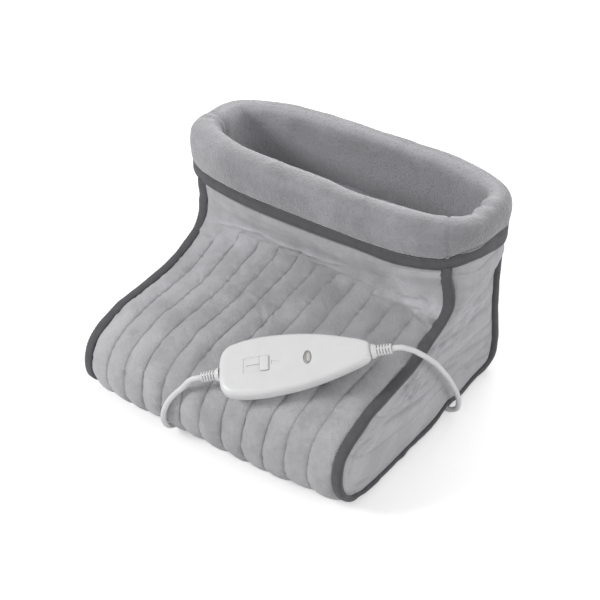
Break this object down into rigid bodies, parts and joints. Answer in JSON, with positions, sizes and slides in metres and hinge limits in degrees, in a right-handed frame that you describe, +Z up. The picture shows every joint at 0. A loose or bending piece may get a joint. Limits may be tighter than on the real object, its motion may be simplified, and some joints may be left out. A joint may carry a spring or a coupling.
{
  "type": "electric foot warmer",
  "caption": "Quilted boot-shaped electric foot warmer for both feet, with a plush collar, dark bindings and a slide control on its cord.",
  "frame": {"origin": "centre of the boot's footprint on the floor, cords left out", "axes": "+Z up, -Y towards the toe, +Y towards the heel, +X towards the side where the lead enters"},
  "size_m": [0.359, 0.4163, 0.228],
  "materials": {
    "fabric": "quilted short-pile fleece",
    "plush": "long-pile plush",
    "binding_tape": "woven tape",
    "sole_cloth": "coarse woven cloth",
    "wadding": "loose wadding",
    "foam": "open-cell foam",
    "felt": "matt felt and ceramic",
    "heater_sleeve": "satin wire sleeve",
    "white_plastic": "satin moulding",
    "cord_plastic": "matt flexible vinyl",
    "lens_plastic": "smoked translucent",
    "board_laminate": "solder mask",
    "black_plastic": "matt moulding",
    "steel": "plated",
    "brass": "plain"
  },
  "bodies": {
    "warmer": {"front_panel": "fabric", "back_panel": "fabric", "side_panel_left": "fabric", "side_panel_right": "fabric", "binding_left": "binding_tape", "binding_right": "binding_tape", "collar_binding": "binding_tape", "collar_cover": "plush", "collar_foam": "foam", "lining_front": "plush", "lining_back": "plush", "lining_left": "plush", "lining_right": "plush", "footbed": "plush", "sole_panel": "sole_cloth", "sole_wadding": "wadding", "heating_carrier": "felt", "heating_wire": "heater_sleeve", "thermostat": "black_plastic", "thermal_fuse": "white_plastic", "lead_splice": "black_plastic", "lead_gland": "black_plastic", "warmer_lead": "cord_plastic", "strain_relief_warmer": "white_plastic", "strain_relief_mains": "white_plastic", "control_top_shell": "white_plastic", "control_bottom_shell": "white_plastic", "switch_body": "black_plastic", "circuit_board": "board_laminate", "triac": "black_plastic", "capacitor": "lens_plastic", "resistor": "felt", "indicator_lamp": "lens_plastic", "indicator_lens": "lens_plastic", "control_screw_1": "steel", "control_screw_2": "steel", "control_screw_3": "steel", "mains_conductor_1": "heater_sleeve", "mains_conductor_2": "heater_sleeve", "lead_conductor_1": "heater_sleeve", "lead_conductor_2": "heater_sleeve", "mains_cord": "cord_plastic", "mains_coil": "cord_plastic", "cord_tie": "black_plastic", "plug_lead": "cord_plastic", "plug_body": "cord_plastic", "plug_pin_1": "brass", "plug_pin_2": "brass"},
    "switch": {"switch_knob": "white_plastic", "switch_lever": "white_plastic"}
  },
  "joints": [
    {"name": "switch_slide", "type": "slide", "parent": "warmer", "child": "switch", "axis": [-0.8365, -0.483, -0.2588], "range_m": [0, 0.0165]}
  ]
}
